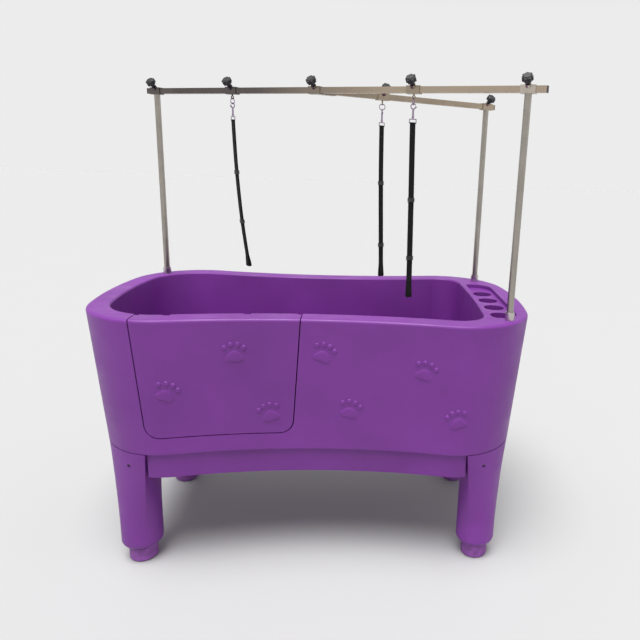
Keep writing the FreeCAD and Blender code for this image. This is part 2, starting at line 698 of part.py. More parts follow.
def square_tube(name, length):
    """Square tube along Z."""
    body = new_body(name)
    sketch = new_sketch(body, "XY_Plane")
    square(sketch, "Dims.BarSize")
    square(sketch, "Dims.BarSize - 2 * Dims.TubeWall")
    pad(body, sketch, length)
    return body


def round_tube(name, length):
    """Round post tube along Z."""
    body = new_body(name)
    sketch = new_sketch(body, "XY_Plane")
    circle(sketch, "Dims.PostRadius")
    circle(sketch, "Dims.PostRadius - Dims.TubeWall")
    pad(body, sketch, length)
    return body


POST_NAMES = ("rear_left", "rear_right", "front_right")
for name, (x, y) in zip(POST_NAMES, post_spots()):
    post = round_tube("Post", "Dims.BarHeight - Dims.SleeveSize / 2 - Dims.PostFoot")
    node(post, "post_" + name, at(x, y, dim("PostFoot")))


# --------------------------------------------------------------------- bars
bar_z = dim("BarHeight")
post_rl, post_rr, post_fr = [Vector(x, y, bar_z) for x, y in post_spots()]
main_way = (post_fr - post_rl).normalize()
junction = post_rl + main_way * dim("JunctionReach")
branch_way = (post_rr - junction).normalize()
main_span = (post_fr - post_rl).Length
branch_span = (post_rr - junction).Length


def bar_frame(origin, way):
    """Placement with +X along a bar and +Z up."""
    return Placement(origin, Rotation(UP, math.degrees(math.atan2(way.y, way.x))))


END_ON = Rotation(Vector(0, 1, 0), 90)       # turns +Z to +X
main_rotation = bar_frame(Vector(), main_way).Rotation * END_ON
branch_rotation = bar_frame(Vector(), branch_way).Rotation * END_ON
main_start = post_rl - main_way * dim("BarLeftOverhang")
main_length = main_span + dim("BarLeftOverhang") + dim("BarRightOverhang")
branch_start = junction + branch_way * dim("BranchStart")
branch_length = branch_span - dim("BranchStart") + dim("BranchOverhang")

main_tube = square_tube("MainBar", "%.4f" % main_length)
node(main_tube, "main_bar", Placement(main_start, main_rotation))
branch_tube = square_tube("BranchBar", "%.4f" % branch_length)
node(branch_tube, "branch_bar", Placement(branch_start, branch_rotation))


def box_along(size, length, start=None):
    """Square block along X, centred on the axis."""
    shift = -num(length) / 2 if start is None else start
    half = num(size) / 2
    return primitive("Box", at(shift, -half, -half), Length=length, Width=size, Height=size)


def bar_plug(end, way):
    """Square cap with a stub that fills the tube's mouth."""
    bore = "Dims.BarSize - 2 * Dims.TubeWall - Dims.PlugGap"
    plug = fuse(box_along("Dims.BarSize", "Dims.PlugCap", start=0),
                box_along(bore, "Dims.PlugStub", start=-dim("PlugStub")))
    plug.Placement = bar_frame(end, way)
    return plug


plugs = doc.addObject("Part::Compound", "MainPlugs")
plugs.Links = [bar_plug(main_start, main_way * -1),
               bar_plug(main_start + main_way * main_length, main_way)]
node(plugs, "main_bar_plugs")
node(bar_plug(branch_start + branch_way * branch_length, branch_way), "branch_bar_plug")


# ------------------------------------------------------------------- clamps
BOSS_WAY = Vector(0, -1, 1).normalize()


def boss():
    return primitive("Cylinder", Placement(BOSS_WAY * dim("BossRoot"), along(BOSS_WAY)),
                     Radius="Dims.BossRadius", Height="Dims.BossReach - Dims.BossRoot")


def stud_hole():
    return primitive("Cylinder", Placement(BOSS_WAY * dim("StudHoleRoot"), along(BOSS_WAY)),
                     Radius="Dims.StudHole", Height="Dims.BossReach")


def clamp_body(*extras):
    """Square sleeve with a threaded boss on its upper front edge."""
    sleeve = box_along("Dims.SleeveSize", "Dims.SleeveLength")
    passage = box_along("Dims.SleeveBore", "2 * Dims.SleeveLength")
    return cut(fuse(sleeve, boss(), *extras), passage, stud_hole())


def post_clamp():
    top = dim("SleeveSize") / 2
    spigot = primitive("Cylinder", at(0, 0, -top - dim("SpigotLength")),
                       Radius="Dims.SpigotRadius", Height="Dims.SpigotLength + 1")
    return clamp_body(spigot)


bar_posts = {"rear_left": (post_rl, main_way), "rear_right": (post_rr, branch_way),
             "front_right": (post_fr, main_way)}
for name, (spot, way) in bar_posts.items():
    node(post_clamp(), "post_clamp_" + name, bar_frame(spot, way))

turn_to_branch = math.degrees(math.atan2(branch_way.y, branch_way.x)
                              - math.atan2(main_way.y, main_way.x))
arm_turn = Placement(Vector(), Rotation(UP, turn_to_branch))
socket_arm = box_along("Dims.SleeveSize", "Dims.SocketArm", start=0)
socket_arm.Placement = arm_turn * socket_arm.Placement
socket_bore = box_along("Dims.SleeveBore", "Dims.SocketArm",
                        start=dim("BranchStart") - FIT_GAP)
socket_bore.Placement = arm_turn * socket_bore.Placement
junction_sleeve = cut(fuse(box_along("Dims.SleeveSize", "Dims.SleeveLength"), boss(),
                           socket_arm),
                      box_along("Dims.SleeveBore", "2 * Dims.SleeveLength"),
                      socket_bore, stud_hole())
node(junction_sleeve, "junction_clamp", bar_frame(junction, main_way))


# --------------------------------------------------------- hanging hardware
class Hanger:
    """One carrier on a bar and the restraint that hangs from it."""

    def __init__(self, name, spot, way, ring_turn, web_turn, route, glides):
        self.name = name
        self.spot = spot
        self.way = way
        self.ring_turn = ring_turn      # heading of the ring's plane, degrees
        self.web_turn = web_turn        # heading of the webbing's width, degrees
        self.route = route              # (sideways, drop) pairs from the link bar
        self.glides = glides            # share of the webbing's length


# The webbing's routes run sideways along its thickness and down from the link.
HANGERS = [
    Hanger("left", post_rl + main_way * 306, main_way, -40, -45,
           [(0, 0), (3, 80), (9, 175), (18, 275), (31, 378), (46, 470)], (0.34, 0.68)),
    Hanger("middle", junction + branch_way * 223, branch_way, 5, 36,
           [(0, 0), (-1, 80), (-4, 180), (-9, 285), (-14, 385), (-18, 477)], (0.37, 0.79)),
    Hanger("right", post_rl + main_way * 921, main_way, 68, 20,
           [(0, 0), (-3, 80), (-9, 190), (-13, 300), (-17, 400), (-19, 492)], (0.43, 0.77)),
]

EYE_Z = bar_z - dim("EyeDrop")
RING_TOP = EYE_Z - dim("EyeMajor") + dim("EyeMinor") + dim("RingMinor") + FIT_GAP
RING_Z = RING_TOP - dim("RingMajor")
CLAW_TOP = RING_Z - dim("RingMajor") + dim("RingMinor") + dim("ClawMinor") + SEAT_GAP
CLAW_Z = CLAW_TOP - dim("ClawMajor")
BARREL_TOP = CLAW_Z - dim("ClawMajor") + 1
BARREL_LOW = BARREL_TOP - dim("BarrelLength")
LINK_TOP = BARREL_LOW - dim("LinkNeckHeight") - 0.5
LINK_LOW = LINK_TOP - dim("LinkHeight")
RING_STAND = Rotation(Vector(1, 0, 0), 90)
CLAW_STAND = Rotation(Vector(0, 1, 0), 90)


def carrier(hanger):
    """Sleeve on the bar with a small eye under it."""
    heading = math.degrees(math.atan2(hanger.way.y, hanger.way.x))
    drop = dim("SleeveSize") / 2
    stem = primitive("Cylinder", at(0, 0, -drop - dim("EyeStemLength")),
                     Radius="Dims.EyeStemRadius", Height="Dims.EyeStemLength + 1")
    eye_turn = Rotation(UP, hanger.ring_turn - heading)
    eye = primitive("Torus", Placement(Vector(0, 0, -dim("EyeDrop")), eye_turn * CLAW_STAND),
                    Radius1="Dims.EyeMajor", Radius2="Dims.EyeMinor")
    return clamp_body(stem, eye)


def carrier_ring():
    return primitive("Torus", at(0, 0, RING_Z, RING_STAND), Radius1="Dims.RingMajor",
                     Radius2="Dims.RingMinor")


def claw_point(degrees):
    """Point on the claw's ring, at an angle from its lowest point."""
    angle = math.radians(degrees)
    return Vector(0, dim("ClawMajor") * math.sin(angle),
                  CLAW_Z - dim("ClawMajor") * math.cos(angle))


def claw_arc(minor, start, sweep):
    """Part of the claw's ring."""
    turn = CLAW_STAND * Rotation(UP, start)
    return primitive("Torus", at(0, 0, CLAW_Z, turn), Radius1="Dims.ClawMajor",
                     Radius2=minor, Angle3=sweep)


def cross_pin(centre, radius, width):
    """Cylinder across the hook, centred on a point."""
    start = centre - Vector(num(width) / 2, 0, 0)
    return primitive("Cylinder", Placement(start, END_ON), Radius=radius, Height=width)


FORK_WIDTH = "Dims.KnuckleWidth + 2 * Dims.CheekGap + 2 * Dims.CheekThickness"


def gate_fork():
    """Two cheeks and a pin that carry the gate, on a bar through the claw."""
    hinge, root = claw_point(dim("GateHinge")), claw_point(dim("CheekRoot"))
    way = hinge - root
    pieces = [cross_pin(root, "Dims.KnuckleRadius", FORK_WIDTH),
              cross_pin(hinge, "Dims.HingePinRadius", FORK_WIDTH)]
    inner = dim("KnuckleWidth") / 2 + dim("CheekGap")
    for start in (inner, -inner - dim("CheekThickness")):
        shift = Vector(start, 0, 0)
        turn = along(way)
        corner = root + shift - turn.multVec(Vector(0, dim("KnuckleRadius"), 0))
        pieces.append(primitive("Box", Placement(corner, turn), Length="Dims.CheekThickness",
                                Width="2 * Dims.KnuckleRadius", Height="%.4f" % way.Length))
        pieces.append(primitive("Cylinder", Placement(hinge + shift, END_ON),
                                Radius="Dims.KnuckleRadius", Height="Dims.CheekThickness"))
    return pieces


def snap_hook():
    """Claw, gate fork, barrel and collar, bored for the swivel pin."""
    claw = claw_arc("Dims.ClawMinor", dim("ClawStart"), "Dims.ClawSweep")
    barrel = primitive("Cylinder", at(0, 0, BARREL_LOW), Radius="Dims.BarrelRadius",
                       Height="Dims.BarrelLength")
    collar = primitive("Cylinder", at(0, 0, BARREL_LOW),
                       Radius="Dims.BarrelRadius + Dims.BarrelStep",
                       Height="Dims.BarrelStepHeight")
    bore = primitive("Cylinder", at(0, 0, BARREL_LOW - 1), Radius="Dims.PinBore",
                     Height="Dims.PinBoreDepth + 1")
    return cut(fuse(claw, barrel, collar, *gate_fork()), bore)


def hook_gate():
    """Sprung bar that closes the claw, with its knuckle and thumb stub."""
    sweep = "Dims.GateHinge - Dims.GateStart"
    bar = claw_arc("Dims.GateMinor", dim("GateStart"), sweep)
    hinge = claw_point(dim("GateHinge"))
    knuckle = cross_pin(hinge, "Dims.KnuckleRadius", "Dims.KnuckleWidth")
    thumb = primitive("Cylinder", Placement(claw_point(dim("ThumbAngle")),
                                            along(Vector(0, -1, -0.25))),
                      Radius="Dims.ThumbRadius", Height="Dims.ThumbLength")
    return cut(fuse(bar, knuckle, thumb),
               cross_pin(hinge, "Dims.HingePinBore", "2 * Dims.KnuckleWidth"))


def swivel_link():
    """Rectangular wire link with the pin that turns in the hook's barrel."""
    half = dim("LinkWidth") / 2
    rails = [primitive("Cylinder", at(-half, 0, z, END_ON), Radius="Dims.LinkWire",
                       Height="Dims.LinkWidth") for z in (LINK_TOP, LINK_LOW)]
    sides = [primitive("Cylinder", at(side * half, 0, LINK_LOW), Radius="Dims.LinkWire",
                       Height="Dims.LinkHeight") for side in (LEFT, RIGHT)]
    knuckles = [primitive("Sphere", at(side * half, 0, z), Radius="Dims.LinkWire")
                for side in (LEFT, RIGHT) for z in (LINK_TOP, LINK_LOW)]
    pin = primitive("Cylinder", at(0, 0, LINK_TOP), Radius="Dims.PinRadius",
                    Height="Dims.PinLength")
    neck = primitive("Cylinder", at(0, 0, LINK_TOP), Radius="Dims.LinkNeck",
                     Height="Dims.LinkNeckHeight")
    return fuse(*rails, *sides, *knuckles, pin, neck)


def rounded_path(spots):
    """Straight runs joined by tangent arcs as large as the runs allow."""
    edges = []
    here = spots[0]
    for before, corner, after in zip(spots, spots[1:], spots[2:]):
        way_in = (corner - before).normalize()
        way_out = (after - corner).normalize()
        half_turn = way_in.getAngle(way_out) / 2
        trim = dim("WebBendShare") * min((corner - before).Length, (after - corner).Length)
        start, finish = corner - way_in * trim, corner + way_out * trim
        radius = trim / math.tan(half_turn)
        sagitta = radius / math.cos(half_turn) - radius
        middle = corner + (way_out - way_in).normalize() * sagitta
        edges.append(Part.LineSegment(here, start).toShape())
        edges.append(Part.Arc(start, middle, finish).toShape())
        here = finish
    edges.append(Part.LineSegment(here, spots[-1]).toShape())
    return Part.Wire(edges)


def web_spots(hanger):
    return [Vector(0, sideways, LINK_LOW - drop) for sideways, drop in hanger.route]


def webbing(hanger):
    """Doubled webbing swept down its route, over the link's lower rail."""
    spots = web_spots(hanger)
    path = rounded_path(spots)
    wide, thick = dim("WebWidth") / 2, dim("WebThickness") / 2
    across = (spots[1] - spots[0]).normalize().cross(Vector(1, 0, 0))
    corners = [spots[0] + Vector(a * wide, 0, 0) + across * (b * thick)
               for a, b in ((-1, -1), (1, -1), (1, 1), (-1, 1))]
    profile = Part.makePolygon(corners + corners[:1])
    sweep = Part.BRepOffsetAPI.MakePipeShell(path)
    sweep.setBiNormalMode(Vector(1, 0, 0))
    sweep.add(profile)
    sweep.build()
    sweep.makeSolid()
    strip = sweep.shape()
    bound = Part.makeCylinder(thick + dim("WebFold"), dim("WebWidth"),
                              spots[0] - Vector(wide, 0, 0), Vector(1, 0, 0))
    bends = [round(edge.Curve.Radius) for edge in path.Edges if hasattr(edge.Curve, "Radius")]
    print(hanger.name, "webbing length", round(path.Length, 1), "arc radii", bends)
    return strip.fuse(bound)


def point_on_route(hanger, share):
    """Point and downward direction at a share of the route."""
    path = rounded_path(web_spots(hanger))
    target = share * path.Length
    for edge in path.Edges:
        if target <= edge.Length:
            parameter = edge.getParameterByLength(target)
            return edge.valueAt(parameter), edge.tangentAt(parameter).normalize()
        target -= edge.Length
    return None


def tri_glide():
    """Slide adjuster: a frame round the webbing, along its local Z."""
    outside = primitive("Box", at(-dim("GlideWidth") / 2, -dim("GlideDepth") / 2,
                                  -dim("GlideHeight") / 2),
                        Length="Dims.GlideWidth", Width="Dims.GlideDepth",
                        Height="Dims.GlideHeight")
    passage = primitive("Box", at(-dim("WebWidth") / 2 - dim("GlideSideGap"),
                                  -dim("GlideDepth") / 2 + dim("GlideWall"),
                                  -dim("GlideHeight")),
                        Length="Dims.WebWidth + 2 * Dims.GlideSideGap",
                        Width="Dims.GlideDepth - 2 * Dims.GlideWall",
                        Height="2 * Dims.GlideHeight")
    return cut(outside, passage)


for hanger in HANGERS:
    name = hanger.name
    hanging = Placement(Vector(hanger.spot.x, hanger.spot.y, 0), Rotation(UP, hanger.ring_turn))
    web_frame = Placement(hanging.Base, Rotation(UP, hanger.web_turn))
    node(carrier(hanger), "carrier_" + name, bar_frame(hanger.spot, hanger.way))
    ring = carrier_ring()
    node(ring, "carrier_ring_" + name, hanging * ring.Placement)
    node(snap_hook(), "snap_hook_" + name, hanging)
    node(hook_gate(), "hook_gate_" + name, hanging)
    node(swivel_link(), "swivel_link_" + name, web_frame)
    feature("webbing_" + name, webbing(hanger), web_frame)
    for place, share in zip(("upper", "lower"), hanger.glides):
        spot, down = point_on_route(hanger, share)
        lean = Placement(spot, Rotation(UP, down * -1))
        node(tri_glide(), "%s_glide_%s" % (place, name), web_frame * lean)
        moved = web_frame.multVec(spot)
        way = web_frame.Rotation.multVec(down)
        print("glide", place, name, [round(v / 1000, 5) for v in moved],
              [round(v, 5) for v in way])


# -------------------------------------------------------------------- knobs
def knob(name, spot, way):
    """Lobed clamping knob on its stud; local +Z points out along the stud."""
    low = "Dims.KnobReach - Dims.KnobHeight / 2"
    high = "Dims.KnobReach + Dims.KnobHeight / 2"
    hub_low = low + " - Dims.HubHeight"
    body = turned("Knob", [
        ("0", "Dims.StudTip"), ("Dims.StudRadius", "Dims.StudTip"),
        ("Dims.StudRadius", hub_low), ("Dims.HubRadius", hub_low),
        ("Dims.HubRadius + Dims.HubFlare", low), ("Dims.KnobRadius - Dims.KnobBevel", low),
        ("Dims.KnobRadius", low + " + Dims.KnobBevel"),
        ("Dims.KnobRadius", high + " - Dims.KnobCrown"),
        ("Dims.KnobRadius - Dims.KnobCrown", high), ("0", high)])
    doc.recompute()
    sketch = new_sketch(body, "XY_Plane")
    circle(sketch, "Dims.LobeRadius", x="Dims.KnobRadius - Dims.LobeSink")
    lobe_low = low + " + Dims.LobeInset"
    sketch.AttachmentOffset = at(0, 0, num(lobe_low))
    sketch.setExpression(".AttachmentOffset.Base.z", lobe_low)
    lobe = pad(body, sketch, "Dims.LobeHeight")
    lobes = body.newObject("PartDesign::PolarPattern", "Lobes")
    lobes.Originals = [lobe]
    lobes.Axis = (sketch, ["N_Axis"])
    lobes.Angle = 360
    lobes.setExpression("Occurrences", "Dims.LobeCount")
    body.Tip = lobes
    frame = bar_frame(spot, way)
    tilt = along(BOSS_WAY)
    node(body, "knob_" + name, Placement(spot, frame.Rotation * tilt))


KNOBS = {"post_" + name: place for name, place in bar_posts.items()}
KNOBS["junction"] = (junction, main_way)
for hanger in HANGERS:
    KNOBS["carrier_" + hanger.name] = (hanger.spot, hanger.way)
for name, (spot, way) in KNOBS.items():
    knob(name, spot, way)

# ------------------------------------------------------------ check, export
doc.recompute()
for obj in doc.Objects:
    if "Invalid" in obj.State or "Error" in obj.State:
        raise RuntimeError("%s did not compute" % obj.Name)
os.makedirs("parts", exist_ok=True)
for obj in nodes:
    shape = obj.Shape
    if shape.isNull() or not shape.isValid():
        raise RuntimeError("%s has a bad shape" % obj.Label)
    shape.exportStep("parts/%s.step" % obj.Label)
    print("%-28s solids %d volume %.1f cm3" % (obj.Label, len(shape.Solids),
                                               shape.Volume / 1000))
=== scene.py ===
"""Looks of the pet bathtub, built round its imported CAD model. Metres."""

import json
import math

import bmesh
import bpy
from mathutils import Matrix, Vector
from mathutils.bvhtree import BVHTree


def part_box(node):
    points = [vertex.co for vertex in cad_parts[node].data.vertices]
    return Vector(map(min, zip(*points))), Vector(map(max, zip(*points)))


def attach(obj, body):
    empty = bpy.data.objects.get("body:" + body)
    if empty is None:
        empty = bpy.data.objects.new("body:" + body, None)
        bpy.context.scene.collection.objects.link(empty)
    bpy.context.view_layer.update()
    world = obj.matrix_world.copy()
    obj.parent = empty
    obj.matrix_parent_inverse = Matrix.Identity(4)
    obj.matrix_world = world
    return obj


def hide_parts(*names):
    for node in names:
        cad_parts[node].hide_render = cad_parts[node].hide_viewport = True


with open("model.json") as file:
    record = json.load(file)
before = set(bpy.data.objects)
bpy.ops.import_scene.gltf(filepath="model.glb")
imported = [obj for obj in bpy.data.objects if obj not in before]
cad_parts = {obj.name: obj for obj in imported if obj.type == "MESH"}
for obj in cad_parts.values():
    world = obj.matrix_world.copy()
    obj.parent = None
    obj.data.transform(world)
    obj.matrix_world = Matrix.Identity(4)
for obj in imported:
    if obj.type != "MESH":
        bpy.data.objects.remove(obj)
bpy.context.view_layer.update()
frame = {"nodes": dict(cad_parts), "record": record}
NODES = frame["nodes"]
RECORD = frame["record"]
JOINTS = {joint["name"]: joint for joint in RECORD["behaviour"]["joints"]}
SLOTS = {part["node"]: part["material_slot"] for part in RECORD["subparts"]}
BODY_OF = {node: body for body, nodes in RECORD["behaviour"]["bodies"].items()
           for node in nodes}
scene = bpy.context.scene


def link(obj):
    scene.collection.objects.link(obj)
    return obj


# -------------------------------------------------------------------- camera
CAMERA_PLACE = (0.1342, -1.8828, 1.2119)
# Radians: turned right from +Y, pitched down, and rolled with the right side up.
CAMERA_YAW, CAMERA_PITCH, CAMERA_ROLL = 0.0804, 0.2432, 0.0408
CAMERA_LENS = 33.51
SENSOR_WIDTH = 36
SHIFT_X, SHIFT_Y = -0.1356, -0.0194


def make_camera():
    """Camera that shows the tub from the front, a little above its rim."""
    level = Vector((math.cos(CAMERA_YAW), -math.sin(CAMERA_YAW), 0))
    forward = Vector((math.sin(CAMERA_YAW) * math.cos(CAMERA_PITCH),
                      math.cos(CAMERA_YAW) * math.cos(CAMERA_PITCH),
                      -math.sin(CAMERA_PITCH)))
    above = level.cross(forward)
    right = level * math.cos(CAMERA_ROLL) + above * math.sin(CAMERA_ROLL)
    up = above * math.cos(CAMERA_ROLL) - level * math.sin(CAMERA_ROLL)
    data = bpy.data.cameras.new("camera")
    data.sensor_width = SENSOR_WIDTH
    data.lens = CAMERA_LENS
    data.shift_x = SHIFT_X
    data.shift_y = SHIFT_Y
    camera = link(bpy.data.objects.new("camera", data))
    turn = Matrix((right, up, -forward)).transposed()
    camera.matrix_world = Matrix.Translation(CAMERA_PLACE) @ turn.to_4x4()
    scene.camera = camera


make_camera()


# ----------------------------------------------------------------- materials
class Recipe:
    """A node tree being filled in, with a few shorthands."""

    def __init__(self, name):
        self.material = bpy.data.materials.new(name)
        self.material.use_nodes = True
        self.tree = self.material.node_tree
        self.shader = self.tree.nodes["Principled BSDF"]

    def node(self, kind, **settings):
        made = self.tree.nodes.new("ShaderNode" + kind)
        for key, value in settings.items():
            setattr(made, key, value)
        return made

    def wire(self, source, target):
        self.tree.links.new(source, target)

    def place(self, scale=(1, 1, 1), turn=0.0):
        """Coordinates of the object, turned about Z and then stretched."""
        coords = self.node("TexCoord").outputs["Object"]
        if turn:
            turned = self.node("Mapping")
            turned.inputs["Rotation"].default_value = (0, 0, -turn)
            self.wire(coords, turned.inputs["Vector"])
            coords = turned.outputs[0]
        stretched = self.node("Mapping")
        stretched.inputs["Scale"].default_value = scale
        self.wire(coords, stretched.inputs["Vector"])
        return stretched.outputs[0]

    def noise(self, coords, scale, detail, roughness=0.5):
        made = self.node("TexNoise")
        made.inputs["Scale"].default_value = scale
        made.inputs["Detail"].default_value = detail
        made.inputs["Roughness"].default_value = roughness
        self.wire(coords, made.inputs["Vector"])
        return made.outputs["Fac"]

    def ramp(self, value, *stops):
        """A grey that follows a value between two stops, each (value, grey)."""
        made = self.node("ValToRGB")
        for element, (where, grey) in zip(made.color_ramp.elements, stops):
            element.position = where
            element.color = (grey, grey, grey, 1)
        self.wire(value, made.inputs["Fac"])
        return made.outputs["Color"]

    def mix(self, share, first, second):
        """Two colours, each a tuple or a socket, mixed by a socket's value."""
        made = self.node("Mix", data_type="RGBA")
        self.wire(share, made.inputs["Factor"])
        spots = [socket for socket in made.inputs if socket.type == "RGBA"]
        for spot, colour in zip(spots, (first, second)):
            if isinstance(colour, tuple):
                spot.default_value = (*colour, 1)
            else:
                self.wire(colour, spot)
        return [socket for socket in made.outputs if socket.type == "RGBA"][0]

    def calculate(self, operation, *values):
        made = self.node("Math", operation=operation)
        for socket, value in zip(made.inputs, values):
            if isinstance(value, (int, float)):
                socket.default_value = value
            else:
                self.wire(value, socket)
        return made.outputs[0]

    def bump(self, height, distance, strength, over=None):
        made = self.node("Bump")
        made.inputs["Strength"].default_value = strength
        made.inputs["Distance"].default_value = distance
        self.wire(height, made.inputs["Height"])
        if over is not None:
            self.wire(over, made.inputs["Normal"])
        return made.outputs[0]

    def finish(self, colour, roughness, normal=None, **values):
        """Fills the shader's sockets; a number is set on the socket itself."""
        self.wire(colour, self.shader.inputs["Base Color"])
        if isinstance(roughness, float):
            self.shader.inputs["Roughness"].default_value = roughness
        else:
            self.wire(roughness, self.shader.inputs["Roughness"])
        if normal is not None:
            self.wire(normal, self.shader.inputs["Normal"])
        for key, value in values.items():
            self.shader.inputs[key.replace("_", " ")].default_value = value
        return self.material


def shaded(colour, factor, lift=0.0):
    """A colour times a factor, plus a lift."""
    return tuple(channel * factor + lift for channel in colour)


MOULDED_ROUGH = 0.46


def moulded(name, colour):
    """Rotomoulded plastic: mottled, with orange peel, scuffs and faint waves."""
    recipe = Recipe(name)
    coords = recipe.place()
    cloud = recipe.ramp(recipe.noise(coords, scale=5, detail=4), (0.3, 0.0), (0.7, 1.0))
    mottled = recipe.mix(cloud, shaded(colour, 0.9), shaded(colour, 1.08))
    speck = recipe.ramp(recipe.noise(coords, scale=420, detail=2), (0.6, 0.0), (0.74, 0.5))
    specked = recipe.mix(speck, mottled, shaded(colour, 1.25))
    streaks = recipe.noise(recipe.place((3, 3, 90)), scale=6, detail=5, roughness=0.7)
    scuff = recipe.ramp(streaks, (0.69, 0.0), (0.76, 0.35))
    scuffed = recipe.mix(scuff, specked, shaded(colour, 1.3, 0.04))
    dull = recipe.ramp(recipe.noise(coords, scale=12, detail=5),
                       (0.3, MOULDED_ROUGH - 0.06), (0.7, MOULDED_ROUGH + 0.1))
    waves = recipe.bump(recipe.noise(coords, scale=7, detail=2),
                        distance=0.004, strength=0.25)
    peel = recipe.bump(recipe.noise(coords, scale=650, detail=3),
                       distance=0.0003, strength=0.5, over=waves)
    return recipe.finish(scuffed, dull, peel, Specular_IOR_Level=0.42)


GRAIN_FINE, GRAIN_LONG = 900, 6


def brushed(name, colour, heading=None, rough=0.3, fade=None):
    """Brushed steel with its grain along a heading, or upright where none is given.

    A fade is (start, end, colour): the colour turns to that colour along X, a painted
    reflection that is darker at its start and lighter at its end.
    """
    recipe = Recipe(name)
    if heading is None:
        coords = recipe.place((GRAIN_FINE, GRAIN_FINE, GRAIN_LONG))
    else:
        coords = recipe.place((GRAIN_LONG, GRAIN_FINE, GRAIN_FINE), heading)
    grain = recipe.noise(coords, scale=1, detail=4, roughness=0.65)
    cloud = recipe.ramp(recipe.noise(recipe.place(), scale=16, detail=4),
                        (0.35, 0.0), (0.7, 1.0))
    tint = recipe.mix(cloud, shaded(colour, 0.82), colour)
    # Painted reflection: the colour turns from the darker base to the lighter far colour
    # along X.
    if fade:
        start, end, painted_reflection_colour = fade
        along = recipe.node("SeparateXYZ")
        recipe.wire(recipe.place(), along.inputs[0])
        share = recipe.node("MapRange", clamp=True)
        share.inputs["From Min"].default_value = start
        share.inputs["From Max"].default_value = end
        recipe.wire(along.outputs["X"], share.inputs["Value"])
        tint = recipe.mix(share.outputs["Result"], tint, painted_reflection_colour)
    lines = recipe.ramp(grain, (0.3, 0.12), (0.7, 0.0))
    marked = recipe.mix(lines, tint, shaded(colour, 0.55))
    dull = recipe.ramp(grain, (0.3, rough - 0.07), (0.75, rough + 0.15))
    relief = recipe.bump(grain, distance=0.00008, strength=0.5)
    return recipe.finish(marked, dull, relief, Metallic=1.0, Anisotropic=0.4)


def plated(name, colour, rough=0.16):
    """Bright plating with faint handling marks."""
    recipe = Recipe(name)
    marks = recipe.noise(recipe.place(), scale=500, detail=4, roughness=0.6)
    tint = recipe.mix(marks, shaded(colour, 0.85), colour)
    dull = recipe.ramp(marks, (0.4, rough), (0.75, rough + 0.18))
    relief = recipe.bump(marks, distance=0.00004, strength=0.4)
    return recipe.finish(tint, dull, relief, Metallic=1.0)


def sparked(name, colour, rough=0.4):
    """Spark-textured moulded plastic or rubber."""
    recipe = Recipe(name)
    coords = recipe.place()
    spark = recipe.noise(coords, scale=1800, detail=2)
    cloud = recipe.noise(coords, scale=60, detail=3)
    tint = recipe.mix(recipe.ramp(cloud, (0.35, 0.0), (0.7, 1.0)), colour,
                      shaded(colour, 1.5, 0.006))
    dull = recipe.ramp(cloud, (0.3, rough), (0.7, rough + 0.16))
    relief = recipe.bump(spark, distance=0.00015, strength=0.6)
    return recipe.finish(tint, dull, relief)


# Millimetres of webbing for each wave of its weave.
WARP_PITCH, WEFT_PITCH = 1.6, 2.2


def woven(name, colour):
    """Woven webbing: UV runs across the strip and down it, in millimetres."""
    recipe = Recipe(name)
    uv = recipe.node("SeparateXYZ")
    recipe.wire(recipe.node("TexCoord").outputs["UV"], uv.inputs[0])
    across, down = uv.outputs[0], uv.outputs[1]
    warp = recipe.calculate("SINE", recipe.calculate("MULTIPLY", across,
                                                     math.tau / WARP_PITCH))
    weft = recipe.calculate("SINE", recipe.calculate("MULTIPLY", down,
                                                     math.tau / WEFT_PITCH))
    weave = recipe.calculate("MULTIPLY", warp, weft)
    height = recipe.calculate("ADD", recipe.calculate("MULTIPLY", weave, 0.5), 0.5)
    fuzz = recipe.noise(recipe.place(), scale=2500, detail=3)
    # Painted highlight and painted shade: the threads are lighter on the weave's crests and
    # darker in its hollows, following the bump height.
    thread = recipe.mix(recipe.ramp(height, (0.1, 0.0), (0.9, 1.0)),
                        shaded(colour, 0.6), shaded(colour, 2, 0.001))
    worn = recipe.mix(recipe.ramp(fuzz, (0.62, 0.0), (0.8, 0.5)), thread,
                      shaded(colour, 3, 0.006))
    threads = recipe.bump(height, distance=0.0004, strength=0.9)
    relief = recipe.bump(fuzz, distance=0.0001, strength=0.5, over=threads)
    return recipe.finish(worn, 0.82, relief, Sheen_Weight=0.06, Sheen_Roughness=0.5,
                         Specular_IOR_Level=0.14)


def ground(name, colour):
    """Matt floor, very slightly mottled."""
    recipe = Recipe(name)
    cloud = recipe.noise(recipe.place(), scale=2, detail=3)
    return recipe.finish(recipe.mix(cloud, shaded(colour, 0.985), colour), 0.75)


def heading_of(joint):
    """Heading of a joint's axis over the floor."""
    x, y, _ = JOINTS[joint]["axis"]
    return math.atan2(y, x)


